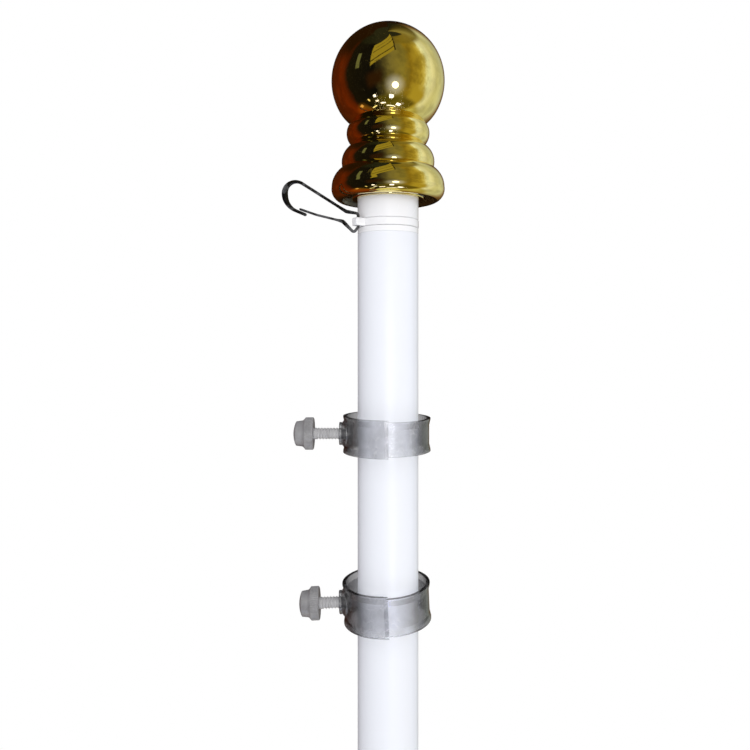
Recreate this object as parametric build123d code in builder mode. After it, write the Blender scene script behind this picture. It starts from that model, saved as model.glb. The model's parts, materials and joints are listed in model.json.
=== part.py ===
from build123d import *
import math
import os

# Sizes in millimetres. The origin is the centre of the pole's flat foot, +Z runs up the pole,
# and the snap hook and the thumb screws point along -X. -Y is the front.

# Pole: two tubes of one stock, the lower one swaged down to a spigot
tube_diameter = 25.4
tube_wall = 0.8
tube_length = 762.0
spigot_length = 60.0
spigot_clearance = 0.08
shoulder_height = 4.0

# Bottom cap: a moulded plug with a flat foot
cap_flange = 2.0
cap_edge = 0.6
cap_spigot = 25.0
cap_wall = 1.6
plug_clearance = 0.05

# Swivel ring: turns in the top plug's groove, its lug takes the hook's stem
swivel_wall = 1.4
swivel_height = 3.2
swivel_edge = 0.3
swivel_clearance = 0.1
swivel_end_gap = 0.1
lug_angle = 214.0
lug_wall = 1.05
lug_corner = 0.8
eye_offset = 1.94

# Top plug: spigot in the tube, collar, groove for the swivel ring, barrel that carries the ball
plug_spigot = 30.0
plug_lead_in = 1.0
plug_wall = 2.0
collar_height = 2.4
groove_depth = 1.35
barrel_radius = 12.75
barrel_grip = 14.0
barrel_edge = 0.5

# Ball finial: one hollow moulding pushed on the barrel
finial_wall = 2.0
finial_clearance = 0.05
finial_lift = 8.2
mouth_rise = 0.5
mouth_ridge = 2.2
recess_rise = 1.4
recess_draft = 0.45
lip_inner_radius = 19.1
lip_outer_radius = 20.6
flange_radius = 23.6
neck_radius = 15.5
neck_channel_radius = 10.5
ball_radius = 23.67
ball_height = 49.9

# Snap hook: one springy wire, round at its stem and pressed flat where it bends and latches
wire_diameter = 1.2
stem_clearance = 0.3
stem_rise = 1.8
stem_drop = 2.8
hook_length = 29.89
hook_tip_reach = 21.06
latch_reach = 23.96
tip_width = 1.3
bend_width = 2.6
bend_thickness = 0.9
arm_width = 1.5
elbow_width = 1.6
flat_thickness = 1.05
latch_width = 0.95
latch_thickness = 1.25

# Anti-wrap rings: two half shells with flared rims, hanging loosely round the pole.
# Their slack lets them slip towards the screws, and lets the lower one nod to the front and
# lean towards its screw.
upper_ring_drop = 83.4
ring_spacing = 69.8
upper_ring_height = 15.1
lower_ring_height = 16.5
ring_slack = 4.1
ring_slip = 0.5
lower_ring_nod = 1.3
lower_ring_lean = 2.6
rim_wall = 1.5
waist_wall = 0.95
flare_height = 2.9
rim_height = 0.5
plain_top_drop = 0.8
plain_foot_rise = 0.7
lap_length = 1.6
lap_past_middle = 0.3
lap_clearance = 0.05
boss_diameter = 9.5
boss_stand = 1.6
boss_disc = 1.0
boss_neck_diameter = 8.8
boss_root_diameter = 14.4
boss_root_depth = 3.2
boss_edge = 0.3

# Thumb screws: plain shank here, thread and knurl are too fine for the solid
shank_diameter = 4.8
shank_length = 15.7
shank_tip_edge = 0.5
shank_clearance = 0.08
grip_diameter = 13.5
grip_height = 3.6
grip_edge = 0.3
grip_cone = 1.2
crown_diameter = 10.8
crown_top_diameter = 10.2
crown_height = 2.6
crown_dome = 1.1
upper_tip_gap = 2.7
lower_tip_gap = 0.3

# Radii and heights that follow from the sizes above
tube_radius = tube_diameter / 2
bore_radius = tube_radius - tube_wall
spigot_radius = bore_radius - spigot_clearance
joint_height = cap_flange + tube_length - spigot_length
pole_top = joint_height + tube_length

groove_radius = barrel_radius - groove_depth
groove_foot = pole_top + collar_height
groove_height = swivel_height + 2 * swivel_end_gap
barrel_foot = groove_foot + groove_height
barrel_height = finial_lift + barrel_grip
finial_foot = barrel_foot + finial_lift

swivel_foot = groove_foot + swivel_end_gap
swivel_inner_radius = groove_radius + swivel_clearance
swivel_outer_radius = swivel_inner_radius + swivel_wall
eye_radius = wire_diameter / 2 + stem_clearance
eye_reach = swivel_outer_radius + eye_offset
eye_x = eye_reach * math.cos(math.radians(lug_angle))
eye_y = eye_reach * math.sin(math.radians(lug_angle))

ring_inner_radius = tube_radius + ring_slack
rim_radius = ring_inner_radius + rim_wall
waist_radius = ring_inner_radius + waist_wall
lap_radius = ring_inner_radius + waist_wall / 2
boss_face = ring_slip + rim_radius + boss_stand

os.makedirs("parts", exist_ok=True)

# Bottom cap: flat foot with a chamfered edge, hollow spigot in the tube
with BuildPart() as bottom_cap:
    with BuildSketch(Plane.XY):
        Circle(tube_radius)
    extrude(amount=cap_flange)
    chamfer(bottom_cap.edges().sort_by(Axis.Z)[0], cap_edge)
    with BuildSketch(Plane.XY.offset(cap_flange)):
        Circle(bore_radius - plug_clearance)
        Circle(bore_radius - plug_clearance - cap_wall, mode=Mode.SUBTRACT)
    extrude(amount=cap_spigot)
bottom_cap.part.label = "bottom_cap"
export_step(bottom_cap.part, "parts/bottom_cap.step")

# Lower tube: full size up to the swaged shoulder, then the spigot
with BuildPart() as lower_tube:
    with BuildSketch(Plane.XZ):
        with BuildLine():
            Polyline(
                (bore_radius, cap_flange),
                (tube_radius, cap_flange),
                (tube_radius, joint_height - shoulder_height),
                (spigot_radius, joint_height),
                (spigot_radius, joint_height + spigot_length),
                (spigot_radius - tube_wall, joint_height + spigot_length),
                (spigot_radius - tube_wall, joint_height),
                (bore_radius, joint_height - shoulder_height),
                close=True,
            )
        make_face()
    revolve(axis=Axis.Z)
lower_tube.part.label = "lower_tube"
export_step(lower_tube.part, "parts/lower_tube.step")

# Upper tube: plain, over the spigot
with BuildPart() as upper_tube:
    with BuildSketch(Plane.XY.offset(joint_height)):
        Circle(tube_radius)
        Circle(bore_radius, mode=Mode.SUBTRACT)
    extrude(amount=tube_length)
upper_tube.part.label = "upper_tube"
export_step(upper_tube.part, "parts/upper_tube.step")

# Top plug: turned outline, then bored out from below up to a closed top
with BuildPart() as top_plug:
    with BuildSketch(Plane.XZ):
        with BuildLine():
            Polyline(
                (0, pole_top - plug_spigot),
                (bore_radius - plug_clearance - plug_lead_in, pole_top - plug_spigot),
                (bore_radius - plug_clearance, pole_top - plug_spigot + plug_lead_in),
                (bore_radius - plug_clearance, pole_top),
                (tube_radius, pole_top),
                (tube_radius, groove_foot),
                (groove_radius, groove_foot),
                (groove_radius, barrel_foot),
                (barrel_radius, barrel_foot),
                (barrel_radius, barrel_foot + barrel_height),
                (0, barrel_foot + barrel_height),
                close=True,
            )
        make_face()
    revolve(axis=Axis.Z)
    barrel_rims = top_plug.edges().filter_by(GeomType.CIRCLE).sort_by(Axis.Z).filter_by(
        lambda rim: rim.center().Z > groove_foot and rim.radius > groove_radius
    )
    fillet(barrel_rims, min(barrel_edge, groove_depth / 3))
    with BuildSketch(Plane.XY.offset(pole_top - plug_spigot)):
        Circle(groove_radius - plug_wall)
    extrude(
        amount=plug_spigot + barrel_foot - pole_top + barrel_height - plug_wall,
        mode=Mode.SUBTRACT,
    )
top_plug.part.label = "top_plug"
export_step(top_plug.part, "parts/top_plug.step")

# Swivel ring: band and lug in one outline, softened at its top and bottom edges
with BuildPart() as swivel_ring:
    with BuildSketch(Plane.XY.offset(swivel_foot)) as swivel_outline:
        Circle(swivel_outer_radius)
        lug_reach = eye_reach + eye_radius + lug_wall
        with Locations(Location((0, 0, 0), (0, 0, lug_angle))):
            Rectangle(lug_reach, 2 * (eye_radius + lug_wall), align=(Align.MIN, Align.CENTER))
        lug_tips = swivel_outline.vertices().filter_by(
            lambda point: math.hypot(point.X, point.Y) > lug_reach
        )
        fillet(lug_tips, lug_corner)
    extrude(amount=swivel_height)
    rims = swivel_ring.faces().filter_by(Axis.Z).edges()
    chamfer(rims, swivel_edge)
    with BuildSketch(Plane.XY.offset(swivel_foot)):
        Circle(swivel_inner_radius)
        with Locations((eye_x, eye_y)):
            Circle(eye_radius)
    extrude(amount=swivel_height, mode=Mode.SUBTRACT)
swivel_ring.part.label = "swivel_ring"
export_step(swivel_ring.part, "parts/swivel_ring.step")

# Snap hook: its route lies in the upright plane through the stem, local x is the way out along -X.
# From the tip round the bend, up the arm, down the stem and back along the latch.
hook_plane = Plane(origin=(eye_x, eye_y, swivel_foot), x_dir=(-1, 0, 0), z_dir=(0, 1, 0))
stem_top = swivel_height + stem_rise
hook_route = [
    (hook_tip_reach, 4.3),
    (hook_length, 8.0),
    (hook_length, 21.7),
    (4.85, stem_top + 0.8),
    (0, stem_top),
    (0, -0.5),
    (1.75, -stem_drop),
    (6.3, 1.8),
    (17.06, 4.45),
    (latch_reach, 6.85),
]
hook_radii = [7.5, 4.6, 2.0, 1.0, 1.0, 0.9, 1.5, 20.0]
# Distance from the tip, width in the plane of the hook, thickness across it
wire_sections = [
    (0.0, tip_width, flat_thickness),
    (4.0, tip_width, flat_thickness),
    (13.5, bend_width, bend_thickness),
    (23.0, tip_width, flat_thickness),
    (28.0, wire_diameter, wire_diameter),
    (40.0, wire_diameter, wire_diameter),
    (45.5, arm_width, flat_thickness),
    (49.0, wire_diameter, wire_diameter),
    (58.5, wire_diameter, wire_diameter),
    (63.0, elbow_width, flat_thickness),
    (67.0, latch_width, latch_thickness),
    (120.0, latch_width, latch_thickness),
]


def wire_size(distance):
    """Width and thickness of the wire at a distance from its tip."""
    for start, end in zip(wire_sections, wire_sections[1:]):
        if start[0] <= distance <= end[0]:
            share = (distance - start[0]) / (end[0] - start[0])
            return [a + (b - a) * share for a, b in zip(start[1:], end[1:])]
    return wire_sections[-1][1:]


with BuildLine(hook_plane) as hook_path:
    FilletPolyline(*hook_route, radius=hook_radii)

with BuildPart() as wire_hook:
    run = 0.0
    for stretch in hook_path.wires()[0].edges():
        curved = stretch.geom_type == GeomType.CIRCLE
        for share in (0, 0.5, 1) if curved else (0, 1):
            width, thickness = wire_size(run + stretch.length * share)
            across = Plane(origin=stretch @ share, x_dir=(0, 1, 0), z_dir=stretch % share)
            with BuildSketch(across):
                Ellipse(thickness / 2, width / 2)
        if curved:
            sweep(path=stretch, multisection=True)
        else:
            loft(ruled=True)
        run += stretch.length
wire_hook.part.label = "wire_hook"
export_step(wire_hook.part, "parts/wire_hook.step")

# Ball finial: half section from the mouth round the lip, over two beads, up to the ball
mouth_radius = barrel_radius + finial_clearance
hollow_radius = ball_radius - finial_wall
hollow_start = -math.degrees(math.acos(neck_channel_radius / hollow_radius))
with BuildPart() as finial_ball:
    with BuildSketch(Plane.XZ):
        with BuildLine():
            underside = Polyline(
                (mouth_radius, finial_foot + barrel_grip),
                (mouth_radius, finial_foot + mouth_rise),
                (mouth_radius + mouth_ridge, finial_foot + mouth_rise),
                (mouth_radius + mouth_ridge + recess_draft, finial_foot + recess_rise),
                (lip_inner_radius - recess_draft, finial_foot + recess_rise),
                (lip_inner_radius, finial_foot),
                (lip_outer_radius, finial_foot),
            )
            flange_low = ThreePointArc(
                underside @ 1,
                (flange_radius - 0.65, finial_foot + 2.1),
                (flange_radius, finial_foot + 5.7),
            )
            flange_high = ThreePointArc(
                flange_low @ 1,
                (flange_radius - 1.4, finial_foot + 10.5),
                (flange_radius - 4.6, finial_foot + 13.6),
            )
            big_bead = ThreePointArc(
                flange_high @ 1,
                (neck_radius + 3.4, finial_foot + 18.9),
                (neck_radius - 0.55, finial_foot + 23.2),
            )
            small_bead = ThreePointArc(
                big_bead @ 1,
                (neck_radius + 1.85, finial_foot + 28.4),
                (neck_radius, finial_foot + 32.6),
            )
            ball = CenterArc((0, finial_foot + ball_height), ball_radius, -30, 120)
            TangentArc(ball @ 0, small_bead @ 1, tangent=(ball % 0) * -1)
            hollow = CenterArc(
                (0, finial_foot + ball_height), hollow_radius, hollow_start, 90 - hollow_start
            )
            Line(ball @ 1, hollow @ 1)
            Polyline(hollow @ 0, (neck_channel_radius, finial_foot + barrel_grip), underside @ 0)
        make_face()
    revolve(axis=Axis.Z)
finial_ball.part.label = "finial_ball"
export_step(finial_ball.part, "parts/finial_ball.step")


def wall_section(foot, top, inner, flared=True):
    """Closed line round a ring wall's section: flared rims outside, or a plain strip for the lap."""
    if not flared:
        outer = lap_radius - lap_clearance
        return Polyline((inner, foot), (outer, foot), (outer, top), (inner, top), close=True)
    return Polyline(
        (inner, foot),
        (rim_radius, foot),
        (rim_radius, foot + rim_height),
        (waist_radius, foot + flare_height),
        (waist_radius, top - flare_height),
        (rim_radius, top - rim_height),
        (rim_radius, top),
        (inner, top),
        close=True,
    )


def ring_section(ring_plane, angle):
    """Plane through a ring's own axis: local x runs outwards, local y runs along that axis."""
    turn = math.radians(angle)
    outward = ring_plane.x_dir * math.cos(turn) + ring_plane.y_dir * math.sin(turn)
    return Plane(origin=ring_plane.origin, x_dir=outward, z_dir=outward.cross(ring_plane.z_dir))


def lap_angle(length):
    """Angle at the ring's axis of an arc length on the lap's radius."""
    return math.degrees(length / lap_radius)


# Anti-wrap rings and their screws. The boss half laps over the plain half's tongues, front and back.
lap_end = lap_angle(lap_past_middle)
lap_start = lap_angle(lap_length - lap_past_middle)
upper_ring_middle = pole_top - upper_ring_drop
ring_middles = {"upper": upper_ring_middle, "lower": upper_ring_middle - ring_spacing}
ring_heights = {"upper": upper_ring_height, "lower": lower_ring_height}
ring_nods = {"upper": 0.0, "lower": lower_ring_nod}
ring_leans = {"upper": 0.0, "lower": lower_ring_lean}
tip_gaps = {"upper": upper_tip_gap, "lower": lower_tip_gap}
for place, ring_middle in ring_middles.items():
    # local x runs away from the screw, local z along the ring's own axis
    nod = math.radians(ring_nods[place])
    lean = math.radians(ring_leans[place])
    level = Vector(math.cos(lean), 0, math.sin(lean))
    upright = Vector(
        -math.cos(nod) * math.sin(lean), -math.sin(nod), math.cos(nod) * math.cos(lean)
    )
    pivot = Vector(0, 0, ring_middle)
    ring_plane = Plane(origin=pivot - level * ring_slip, x_dir=level, z_dir=upright)
    ring_axis = Axis(ring_plane.origin, upright)
    screw_plane = Plane(origin=pivot, x_dir=-level, z_dir=level.cross(upright))
    screw_axis = Axis(pivot, -level)
    ring_height = ring_heights[place]
    ring_top = ring_height / 2
    ring_foot = -ring_top
    plain_top = ring_top - plain_top_drop
    plain_foot = ring_foot + plain_foot_rise

    with BuildPart() as ring_boss_half:
        with BuildSketch(ring_section(ring_plane, 90 + lap_start)):
            with BuildLine():
                wall_section(ring_foot, ring_top, ring_inner_radius)
            make_face()
        revolve(axis=ring_axis, revolution_arc=180 - 2 * lap_start)
        for lap_side in (90 - lap_end, 270 - lap_start):
            with BuildSketch(ring_section(ring_plane, lap_side)):
                with BuildLine():
                    wall_section(ring_foot, ring_top, lap_radius)
                make_face()
            revolve(axis=ring_axis, revolution_arc=lap_start + lap_end)
        with BuildSketch(screw_plane):
            with BuildLine():
                Polyline(
                    (ring_inner_radius - boss_root_depth, 0),
                    (ring_inner_radius - boss_root_depth, boss_root_diameter / 2),
                    (boss_face - boss_root_depth, boss_root_diameter / 2),
                    (boss_face - boss_disc, boss_neck_diameter / 2),
                    (boss_face - boss_disc, boss_diameter / 2),
                    (boss_face, boss_diameter / 2),
                    (boss_face, 0),
                    close=True,
                )
            make_face()
        revolve(axis=screw_axis)
        fillet(ring_boss_half.edges().sort_by(screw_axis)[-1], boss_edge)
        with BuildSketch(ring_plane.offset(ring_foot)):
            Circle(ring_inner_radius)
        extrude(amount=ring_height, mode=Mode.SUBTRACT)
        with BuildSketch(Plane(origin=pivot - level * ring_inner_radius / 2, z_dir=-level)):
            Circle(shank_diameter / 2 + shank_clearance)
        extrude(amount=boss_face, mode=Mode.SUBTRACT)
    ring_boss_half.part.label = f"{place}_ring_boss_half"
    export_step(ring_boss_half.part, f"parts/{place}_ring_boss_half.step")

    with BuildPart() as ring_plain_half:
        with BuildSketch(ring_section(ring_plane, 270 + lap_end)):
            with BuildLine():
                wall_section(plain_foot, plain_top, ring_inner_radius)
            make_face()
        revolve(axis=ring_axis, revolution_arc=180 - 2 * lap_end)
        for lap_side in (270 - lap_start, 90 - lap_end):
            with BuildSketch(ring_section(ring_plane, lap_side)):
                with BuildLine():
                    wall_section(plain_foot, plain_top, ring_inner_radius, flared=False)
                make_face()
            revolve(axis=ring_axis, revolution_arc=lap_start + lap_end)
    ring_plain_half.part.label = f"{place}_ring_plain_half"
    export_step(ring_plain_half.part, f"parts/{place}_ring_plain_half.step")

    tip = tube_radius + tip_gaps[place]
    head = tip + shank_length
    crown_foot = head + grip_height + grip_cone
    with BuildPart() as thumb_screw:
        with BuildSketch(screw_plane):
            with BuildLine():
                outline = Polyline(
                    (tip, 0),
                    (tip, shank_diameter / 2 - shank_tip_edge),
                    (tip + shank_tip_edge, shank_diameter / 2),
                    (head, shank_diameter / 2),
                    (head, grip_diameter / 2 - grip_edge),
                    (head + grip_edge, grip_diameter / 2),
                    (head + grip_height, grip_diameter / 2),
                    (crown_foot, crown_diameter / 2),
                    (crown_foot + crown_height, crown_top_diameter / 2),
                )
                dome = RadiusArc(
                    outline @ 1,
                    (crown_foot + crown_height + crown_dome, 0),
                    (crown_top_diameter**2 / 4 + crown_dome**2) / (2 * crown_dome),
                )
                Line(dome @ 1, outline @ 0)
            make_face()
        revolve(axis=screw_axis)
    thumb_screw.part.label = f"{place}_thumb_screw"
    export_step(thumb_screw.part, f"parts/{place}_thumb_screw.step")
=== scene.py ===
import bpy
import json
import math
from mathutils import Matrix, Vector

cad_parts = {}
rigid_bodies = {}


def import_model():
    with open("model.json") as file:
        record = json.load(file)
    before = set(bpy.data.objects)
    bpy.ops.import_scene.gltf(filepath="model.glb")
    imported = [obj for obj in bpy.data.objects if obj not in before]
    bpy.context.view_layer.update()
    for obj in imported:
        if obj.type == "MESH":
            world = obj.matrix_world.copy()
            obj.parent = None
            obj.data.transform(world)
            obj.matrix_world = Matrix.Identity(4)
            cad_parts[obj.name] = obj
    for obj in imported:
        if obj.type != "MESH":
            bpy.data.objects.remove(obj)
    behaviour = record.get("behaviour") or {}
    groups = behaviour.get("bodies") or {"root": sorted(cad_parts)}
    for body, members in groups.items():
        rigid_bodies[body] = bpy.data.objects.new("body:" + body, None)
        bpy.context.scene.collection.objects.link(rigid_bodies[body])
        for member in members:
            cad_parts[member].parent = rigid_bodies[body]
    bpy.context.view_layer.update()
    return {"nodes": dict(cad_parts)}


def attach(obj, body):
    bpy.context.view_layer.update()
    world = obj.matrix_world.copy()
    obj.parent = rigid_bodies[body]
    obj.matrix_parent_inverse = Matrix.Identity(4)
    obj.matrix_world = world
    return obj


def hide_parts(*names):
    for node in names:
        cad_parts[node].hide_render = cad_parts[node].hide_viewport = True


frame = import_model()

print("frame loaded", len(frame["nodes"]), "nodes")

mm = 0.001


# Shared mesh helpers

def arcThrough(start, middle, end, steps):
    # points on the circle through three points, first point left out
    (ax, ay), (bx, by), (cx, cy) = start, middle, end
    d = 2 * (ax * (by - cy) + bx * (cy - ay) + cx * (ay - by))
    ux = ((ax**2 + ay**2) * (by - cy) + (bx**2 + by**2) * (cy - ay) + (cx**2 + cy**2) * (ay - by)) / d
    uy = ((ax**2 + ay**2) * (cx - bx) + (bx**2 + by**2) * (ax - cx) + (cx**2 + cy**2) * (bx - ax)) / d
    radius = math.hypot(ax - ux, ay - uy)
    a0 = math.atan2(ay - uy, ax - ux)
    am = math.atan2(by - uy, bx - ux)
    a1 = math.atan2(cy - uy, cx - ux)
    turn = (a1 - a0) % (2 * math.pi)
    if (am - a0) % (2 * math.pi) > turn:
        turn -= 2 * math.pi
    return [(ux + radius * math.cos(a0 + turn * i / steps), uy + radius * math.sin(a0 + turn * i / steps))
            for i in range(1, steps + 1)]


def roundCorners(points, radii, steps=5, closed=True):
    # polyline with its corners rounded; radii is one number or a dictionary of corner index to radius
    out = []
    count = len(points)
    for i, point in enumerate(points):
        radius = radii if isinstance(radii, (int, float)) else radii.get(i, 0)
        if (not closed and i in (0, count - 1)) or radius <= 0:
            out.append(tuple(point))
            continue
        here, before, after = Vector(point), Vector(points[i - 1]), Vector(points[(i + 1) % count])
        back, ahead = (before - here), (after - here)
        half = back.angle(ahead) / 2
        if half > math.pi / 2 - 0.02:
            out.append(tuple(point))
            continue
        reach = min(radius / math.tan(half), 0.45 * back.length, 0.45 * ahead.length)
        fit = reach * math.tan(half)
        middle = here + (back.normalized() + ahead.normalized()).normalized() * (fit / math.sin(half))
        first = here + back.normalized() * reach
        last = here + ahead.normalized() * reach
        a = first - middle
        b = last - middle
        sweepAngle = a.angle_signed(b)
        for k in range(steps + 1):
            angle = -sweepAngle * k / steps
            out.append((middle.x + a.x * math.cos(angle) - a.y * math.sin(angle),
                        middle.y + a.x * math.sin(angle) + a.y * math.cos(angle)))
    return out


def meshPiece(name, verts, faces, sharpAngle=35):
    mesh = bpy.data.meshes.new(name)
    mesh.from_pydata(verts, [], faces)
    mesh.validate()
    mesh.update()
    mesh.shade_smooth()
    mesh.set_sharp_from_angle(angle=math.radians(sharpAngle))
    piece = bpy.data.objects.new(name, mesh)
    bpy.context.scene.collection.objects.link(piece)
    return piece


def lathe(name, profile, segments=128, sharpAngle=35):
    # closed outline in (radius, height) millimetres turned round the pole's axis
    verts, rows = [], []
    for radius, height in profile:
        if radius < 1e-6:
            rows.append([len(verts)])
            verts.append((0, 0, height * mm))
            continue
        row = []
        for k in range(segments):
            angle = 2 * math.pi * k / segments
            row.append(len(verts))
            verts.append((radius * mm * math.cos(angle), radius * mm * math.sin(angle), height * mm))
        rows.append(row)
    faces = []
    for a, b in zip(rows, rows[1:] + rows[:1]):
        if len(a) == 1 and len(b) == 1:
            continue
        for k in range(segments):
            n = (k + 1) % segments
            if len(a) == 1:
                faces.append((a[0], b[n], b[k]))
            elif len(b) == 1:
                faces.append((a[k], a[n], b[0]))
            else:
                faces.append((a[k], a[n], b[n], b[k]))
    return meshPiece(name, verts, faces, sharpAngle)


def dress(piece, body, slotName, material, *nodes):
    # hands a new piece to its body, its finish and the node it stands for
    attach(piece, body)
    piece.data.materials.append(material)
    if nodes:
        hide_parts(*nodes)
    return piece


# Shared material helpers

def addNode(tree, kind, inputs=None, **settings):
    node = tree.nodes.new(kind)
    for key, value in settings.items():
        setattr(node, key, value)
    for key, value in (inputs or {}).items():
        if isinstance(value, bpy.types.NodeSocket):
            tree.links.new(value, node.inputs[key])
        else:
            node.inputs[key].default_value = value
    return node


def newGroup(name, inputs, outputs):
    group = bpy.data.node_groups.new(name, "ShaderNodeTree")
    for label, kind, value in inputs:
        socket = group.interface.new_socket(label, in_out="INPUT", socket_type=kind)
        if value is not None:
            socket.default_value = value
    for label, kind in outputs:
        group.interface.new_socket(label, in_out="OUTPUT", socket_type=kind)
    entry = group.nodes.new("NodeGroupInput")
    leave = group.nodes.new("NodeGroupOutput")
    return group, entry, leave


def useGroup(tree, group, **values):
    node = tree.nodes.new("ShaderNodeGroup")
    node.node_tree = group
    for key, value in values.items():
        if isinstance(value, bpy.types.NodeSocket):
            tree.links.new(value, node.inputs[key])
        else:
            node.inputs[key].default_value = value
    return node


def makeSurfaceGrain():
    # fine moulded or sprayed unevenness: a soft ripple with finer grain on it
    group, entry, leave = newGroup("surfaceGrain", [
        ("Vector", "NodeSocketVector", None),
        ("Ripple", "NodeSocketFloat", 120.0),
        ("Grain", "NodeSocketFloat", 1500.0),
        ("GrainShare", "NodeSocketFloat", 0.3)], [
        ("Height", "NodeSocketFloat"), ("Mask", "NodeSocketFloat")])
    ripple = addNode(group, "ShaderNodeTexNoise", {
        "Vector": entry.outputs["Vector"], "Scale": entry.outputs["Ripple"], "Detail": 2.0})
    grain = addNode(group, "ShaderNodeTexNoise", {
        "Vector": entry.outputs["Vector"], "Scale": entry.outputs["Grain"], "Detail": 3.0})
    blend = addNode(group, "ShaderNodeMix", {
        0: entry.outputs["GrainShare"], 2: ripple.outputs["Fac"], 3: grain.outputs["Fac"]})
    group.links.new(blend.outputs[0], leave.inputs["Height"])
    group.links.new(ripple.outputs["Fac"], leave.inputs["Mask"])
    return group


def makeHandlingMarks():
    # hairline scratches and specks: thin cells of a stretched voronoi, broken up by noise
    group, entry, leave = newGroup("handlingMarks", [
        ("Vector", "NodeSocketVector", None),
        ("Scale", "NodeSocketFloat", 300.0),
        ("Width", "NodeSocketFloat", 0.03),
        ("Cover", "NodeSocketFloat", 0.45)], [
        ("Mask", "NodeSocketFloat")])
    warp = addNode(group, "ShaderNodeTexNoise", {
        "Vector": entry.outputs["Vector"], "Scale": 60.0, "Detail": 2.0})
    stretch = addNode(group, "ShaderNodeMapping", {
        "Vector": entry.outputs["Vector"], "Rotation": (0.5, 0.3, 0.9), "Scale": (1.0, 0.16, 0.5)})
    mixed = addNode(group, "ShaderNodeMix",
        {0: 0.012, 4: stretch.outputs["Vector"], 5: warp.outputs["Color"]}, data_type="VECTOR")
    cells = addNode(group, "ShaderNodeTexVoronoi",
        {"Vector": mixed.outputs[1], "Scale": entry.outputs["Scale"]}, feature="DISTANCE_TO_EDGE")
    line = addNode(group, "ShaderNodeMath", {0: cells.outputs["Distance"], 1: entry.outputs["Width"]},
        operation="LESS_THAN")
    patches = addNode(group, "ShaderNodeTexNoise", {
        "Vector": entry.outputs["Vector"], "Scale": 90.0, "Detail": 3.0})
    where = addNode(group, "ShaderNodeMath", {0: patches.outputs["Fac"], 1: entry.outputs["Cover"]},
        operation="GREATER_THAN")
    mark = addNode(group, "ShaderNodeMath", {0: line.outputs[0], 1: where.outputs[0]}, operation="MULTIPLY")
    group.links.new(mark.outputs[0], leave.inputs["Mask"])
    return group


surfaceGrain = makeSurfaceGrain()
handlingMarks = makeHandlingMarks()


def newMaterial(name):
    material = bpy.data.materials.new(name)
    material.use_nodes = True
    tree = material.node_tree
    shader = tree.nodes["Principled BSDF"]
    place = addNode(tree, "ShaderNodeTexCoord").outputs["Object"]
    return material, tree, shader, place


def ramp(tree, value, stops, interpolation="LINEAR"):
    node = addNode(tree, "ShaderNodeValToRGB", {"Fac": value})
    node.color_ramp.interpolation = interpolation
    while len(node.color_ramp.elements) < len(stops):
        node.color_ramp.elements.new(0.5)
    for element, (position, colour) in zip(node.color_ramp.elements, stops):
        element.position = position
        element.color = (*colour, 1) if len(colour) == 3 else colour
    return node.outputs["Color"]


# gold: vacuum plating on plastic, mirror gloss, a little wavy, with hairlines, the mould's parting line and
# painted shade in the underside's recess
goldLook = {
    "tint": (0.87, 0.72, 0.27), "tintDeep": (0.83, 0.67, 0.22), "roughness": 0.045, "marksRoughness": 0.22,
    "waviness": 0.035, "partingAzimuth": 53.0, "partingWidth": 0.012,
    # recess colour and metal: painted shade in the underside's recess, within the given reach and below its
    # top
    "recess": (0.045, 0.03, 0.01), "recessTop": 1.4816, "recessReach": (0.0152, 0.0194), "recessShadeMetal": 0.3,
}


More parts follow.
